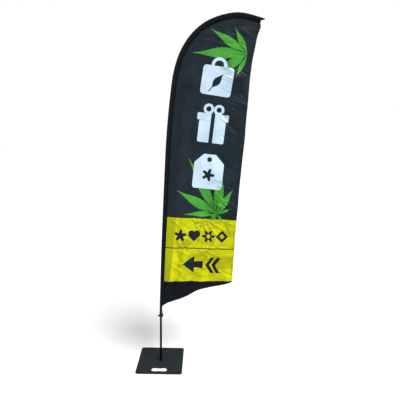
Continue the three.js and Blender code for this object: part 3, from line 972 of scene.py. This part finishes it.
def make_sleeve(material):
    """The pole sleeve: a long tube of black cloth, tight on the pole and a little puckered at its seam."""
    rows = 300
    share = np.linspace(0, 1, rows)
    centre = beside_pole(share, np.zeros(rows))
    tangent = POLE.tangent(SLEEVE_FROM + share * SLEEVE_LENGTH)
    across = np.stack([tangent[:, 1], np.zeros(rows), -tangent[:, 0]], -1)
    offsets = seam_offset(share) + 4 * MM
    rng = np.random.default_rng(3)
    pucker = np.convolve(rng.normal(0, 1, rows + 6), np.ones(3) / 3, "same")[3:-3]
    rings = []
    from_groove = []
    for i in range(rows):
        section = teardrop_ring(offsets[i], SLEEVE_RADIUS * MM, 0.8 * MM)
        from_groove.append(section[:, 0] - offsets[i] + 9 * MM)
        towards_seam = np.clip(section[:, 0] / offsets[i], 0, 1)
        swell = 0.45 * MM * pucker[i] * towards_seam * np.sign(section[:, 1])
        base = np.array([centre[i, 0], 0, centre[i, 1]])
        rings.append(base + across[i] * section[:, :1] + Y_AXIS * (section[:, 1] + swell)[:, None])
    rings = np.array(rings)
    faces = tube_faces(rows, rings.shape[1], start_cap=False)
    sleeve = new_piece("sleeve_cloth", rings.reshape(-1, 3), faces, material)
    from_groove = np.array(from_groove).ravel()
    nothing = np.zeros_like(from_groove)
    store(sleeve, "sleeve_place", np.stack([nothing, from_groove, nothing], -1))
    thicken(sleeve, 0.5 * MM, -1)
    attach(sleeve, "pole")
    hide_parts("pole_sleeve")


def make_tip(material):
    """The pocket that holds the rod's tip: a tapered cap of doubled tape, gathered at the sleeve."""
    rows, sides = 14, 28
    end_arc = SLEEVE_FROM + SLEEVE_LENGTH
    tangent = POLE.tangent(np.array(end_arc))
    outward = np.array([-tangent[1], 0, tangent[0]])
    along = np.array([tangent[0], 0, tangent[1]])
    end = POLE.at(np.array(end_arc))
    base = np.array([end[0], 0, end[1]])
    angles = np.arange(sides) / sides * 2 * math.pi
    round_radius = SLEEVE_RADIUS + 0.5
    rings = []
    for i in range(rows):
        t = i / (rows - 1)
        radius = round_radius + (TIP_RADIUS - round_radius) * t**0.9
        closing = math.sqrt(max(1 - max(t - 0.86, 0) ** 2 / 0.14**2, 0.03))
        lip = 0.5 * math.exp(-(((t - 0.1) / 0.06) ** 2))
        gather = 1 + 0.03 * np.sin(angles * 9) * (1 - t)
        reach = (radius * closing + lip) * gather * MM
        forward = t * (TIP_LENGTH + TIP_OVERLAP) - TIP_OVERLAP
        centre = base + along * (forward * MM) + outward * ((round_radius - radius) * MM)
        across = outward * (reach * np.cos(angles))[:, None]
        rings.append(centre + across + Y_AXIS * (reach * np.sin(angles))[:, None])
    tip = new_piece("tip_pocket_cloth", np.array(rings).reshape(-1, 3), tube_faces(rows, sides), material)
    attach(tip, "pole")
    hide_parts("tip_pocket")


def make_cuff(material):
    """The band of tape round the sleeve's lower end, with rolled edges."""
    low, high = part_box("sleeve_cuff")
    rows, sides = 14, 32
    rings = []
    for i in range(rows):
        t = i / (rows - 1)
        z = low.z + t * (high.z + 4 * MM - low.z)
        centre = POLE.at(POLE.arc_at_height(z))[0]
        lip = math.exp(-((t - 0.04) / 0.05) ** 2) + math.exp(-((t - 0.9) / 0.05) ** 2)
        radius = (10.7 + 0.5 * lip) * MM
        angles = np.arange(sides) / sides * 2 * math.pi
        crimp = 1 + 0.012 * np.sin(angles * 7 + t * 3)
        x = centre + radius * crimp * np.cos(angles)
        y = radius * crimp * np.sin(angles)
        rings.append(np.stack([x, y, np.full(sides, z)], -1))
    points = np.array(rings).reshape(-1, 3)
    cuff = new_piece("cuff_band", points, grid_faces(rows, sides, closed=True), material)
    thicken(cuff, 0.9 * MM, -1)
    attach(cuff, "pole")
    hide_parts("sleeve_cuff")


def stitch_shape(point, along, out):
    """One stitch: a short thread that dips into the cloth at both ends."""
    side = np.cross(along, out)
    half = STITCH_LENGTH * MM / 2
    vertices = []
    for reach, rise, wide in ((-1, -0.2, 0.12), (-0.55, 0.3, 0.3), (0.55, 0.3, 0.3), (1, -0.2, 0.12)):
        middle = point + along * half * reach
        for s, o in ((-1, -0.4), (-0.7, 1), (0.7, 1), (1, -0.4)):
            vertices.append(middle + side * (s * wide * MM) + out * ((rise + 0.35 * o) * MM))
    return vertices


def looked_up(s, arc, vectors):
    """The vector at an arc length s of a row whose vectors are given at the arc lengths arc."""
    return np.array([np.interp(s, arc, column) for column in vectors.T])


def make_stitches(name, points, normals, material):
    """Stitches in a row along points; normals point out of the cloth."""
    steps = np.linalg.norm(np.diff(points, axis=0), axis=1)
    arc = np.concatenate([[0], np.cumsum(steps)])
    places = np.arange(STITCH_PITCH * MM / 2, arc[-1], STITCH_PITCH * MM)
    vertices, faces = [], []
    stitch_faces = tube_faces(4, 4)
    for s in places:
        along = looked_up(s + MM, arc, points) - looked_up(s - MM, arc, points)
        out = looked_up(s, arc, normals)
        start = len(vertices)
        vertices += stitch_shape(
            looked_up(s, arc, points), along / np.linalg.norm(along), out / np.linalg.norm(out)
        )
        faces += [tuple(start + k for k in face) for face in stitch_faces]
    row = new_piece(name, vertices, faces, material)
    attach(row, "pole")
    return row


def make_seams(material):
    """Stitch rows on both sides of the cloth: along the sleeve's seam and along the trailing hem."""
    rows = []
    share = np.linspace(0.005, 0.99, 500)
    line = beside_pole(share, seam_offset(share) + 1.5 * MM)
    for side, name in ((-1, "seam_stitches_front"), (1, "seam_stitches_back")):
        points = np.stack([line[:, 0], np.full(500, side * 1.35 * MM), line[:, 1]], -1)
        normals = np.tile([0.0, side, 0.0], (500, 1))
        rows.append(make_stitches(name, points, normals, material))
    v = np.linspace(0.002, 0.975, 500)
    width = np.linalg.norm(TRAILING.at(v * TRAILING.length) - seam_at(v), axis=-1)
    hem = panel_point(1 - np.minimum((HEM_WIDTH - 2) * MM / width, 0.4), v)
    for side, name in ((-1, "hem_stitches_front"), (1, "hem_stitches_back")):
        points = hem + Y_AXIS * (side * 0.5 * MM)
        normals = np.tile([0.0, side, 0.0], (500, 1))
        rows.append(make_stitches(name, points, normals, material))
    return rows


# ------------------------------------------------------------------ tension hardware


def bungee_route():
    """The cord's centreline, in mm, as the CAD has it: patch, round the collar's peg, patch."""
    front = [(4.5, -12.7, 463.7), (6, -12.7, 455), (10.5, -12.2, 442), (14.8, -9.8, 430), (16.2, -7.6, 420)]
    bend = 6.8
    under = []
    for i in range(7):
        angle = math.pi * (1 + i / 6)
        under.append((16.2, bend * math.cos(angle), 413 + bend * math.sin(angle)))
    back = [(x, -y, z) for x, y, z in reversed(front)]
    return [*front, *under, *back]


def make_bungee(material):
    """The elastic cord: its lower loop goes round the collar's peg, and its ends sit at the patches."""
    route = Track(bungee_route(), 8)
    radius = 1.5 * MM
    rows, sides = 90, 12
    s = np.linspace(0, route.length, rows)
    centre = route.at(s)
    tangent = route.tangent(s)
    side = np.cross(tangent, np.array([1.0, 0.2, 0.1]))
    side /= np.linalg.norm(side, axis=-1, keepdims=True)
    up = np.cross(side, tangent)
    rings = []
    for angle in np.arange(sides) / sides * 2 * math.pi:
        rings.append(centre + radius * (side * math.cos(angle) + up * math.sin(angle)))
    points = np.stack(rings, 1).reshape(-1, 3)
    cord = new_piece("bungee", points, tube_faces(rows, sides), material)
    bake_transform(cord)
    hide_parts("bungee_cord")


def make_patches(material):
    """The two patches of tape on the cuff that hold the cord's ends."""
    for node in ("cord_patch_front", "cord_patch_back"):
        low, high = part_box(node)
        rows, columns = 12, 7
        inner = 1 if high.y > 0 else -1
        points = []
        for i in range(rows):
            t = i / (rows - 1)
            z = low.z + t * (high.z - low.z)
            roll = math.exp(-((t / 0.16) ** 2))
            for j in range(columns):
                w = j / (columns - 1)
                x = low.x + w * (high.x - low.x)
                depth = 1.4 + 1.4 * roll - 0.5 * (2 * w - 1) ** 2
                near = min(abs(low.y), abs(high.y))
                points.append((x, inner * (near + depth * MM), z))
        patch = new_piece(node + "_tape", points, grid_faces(rows, columns), material)
        thicken(patch, 1.1 * MM, 0)
        bevel = patch.modifiers.new("edge", "BEVEL")
        bevel.width = 0.3 * MM
        bevel.segments = 2
        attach(patch, "pole")
        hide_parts(node)


# ------------------------------------------------------------------ CAD parts that stay


def finish_cad(node, material, bevel=None, segments=2):
    """Gives a CAD part its material, rounds its edges when a bevel width is given and shades its curved
    faces smooth.
    """
    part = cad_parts[node]
    part.data.materials.clear()
    part.data.materials.append(material)
    part.data.polygons.foreach_set("use_smooth", [True] * len(part.data.polygons))
    if bevel:
        weld = part.modifiers.new("weld", "WELD")
        weld.merge_threshold = 0.01 * MM
        rounding = part.modifiers.new("edges", "BEVEL")
        rounding.width = bevel * MM
        rounding.segments = segments
        rounding.limit_method = "ANGLE"
        rounding.angle_limit = math.radians(40)
        rounding.harden_normals = False
    part.data.set_sharp_from_angle(angle=math.radians(32))


def finish_cad_parts():
    steel = bright_steel()
    coat = powder_coat()
    tube = black_tube("black_tube", (0.0014, 0.0018, 0.002), 0.55)
    housing = black_tube("black_oxide", (0.002, 0.0024, 0.0028), 0.5)
    rod = black_tube("glass_fibre", (0.010, 0.010, 0.011), 0.36)
    plastic = moulded_plastic("black_nylon", (0.005, 0.006, 0.007), 0.46)
    rubber = moulded_plastic("rubber", (0.010, 0.010, 0.010), 0.75)
    finish_cad("base_plate", coat, 0.8, 3)
    finish_cad("bearing_housing", housing, 0.3)
    finish_cad("tension_collar", plastic, 0.4)
    finish_cad("thumb_screw_knob", plastic, 0.4)
    for node in ("lower_pole", "middle_pole"):
        finish_cad(node, tube)
    finish_cad("top_rod", rod)
    for node in ("lower_joint_ring", "upper_joint_ring", "pin_bush_lower", "pin_bush_upper"):
        finish_cad(node, plastic)
    for node in ("dust_seal", "tip_cap"):
        finish_cad(node, rubber)
    for level in ("lower", "upper"):
        for piece in ("outer_ring", "inner_ring", "balls"):
            finish_cad(f"{level}_bearing_{piece}", steel)
    finish_cad("spindle_pin", housing, 0.2)
    for node in ("base_stud", "bearing_spacer", "housing_circlip", "pin_circlip"):
        finish_cad(node, steel)
    for node in ("collar_nut", "thumb_screw_shank"):
        finish_cad(node, steel)


# ------------------------------------------------------------------ the scene


def flat_area():
    """Area of the cloth before it was wrinkled, in square metres."""
    u, v = np.meshgrid(np.linspace(0, 1, 60), np.linspace(0, 1, 200))
    points = panel_point(u, v)[..., [0, 2]]
    a = points[1:, 1:] - points[:-1, :-1]
    b = points[:-1, 1:] - points[1:, :-1]
    return float(np.abs(a[..., 0] * b[..., 1] - a[..., 1] * b[..., 0]).sum() / 2)


set_camera()
pale_floor()
soft_studio()

print_cloth = printed_cloth()
sleeve_material = sleeve_cloth()
tape = black_cloth("webbing", (0.0035, 0.0042, 0.005), 0.7, 1.8)
sewing = thread()

panel = make_panel(print_cloth)
hems = make_hems(print_cloth)
make_sleeve(sleeve_material)
make_tip(tape)
make_cuff(tape)
seams = make_seams(sewing)
make_bungee(braided_cord())
make_patches(tape)
finish_cad_parts()

flat_area()
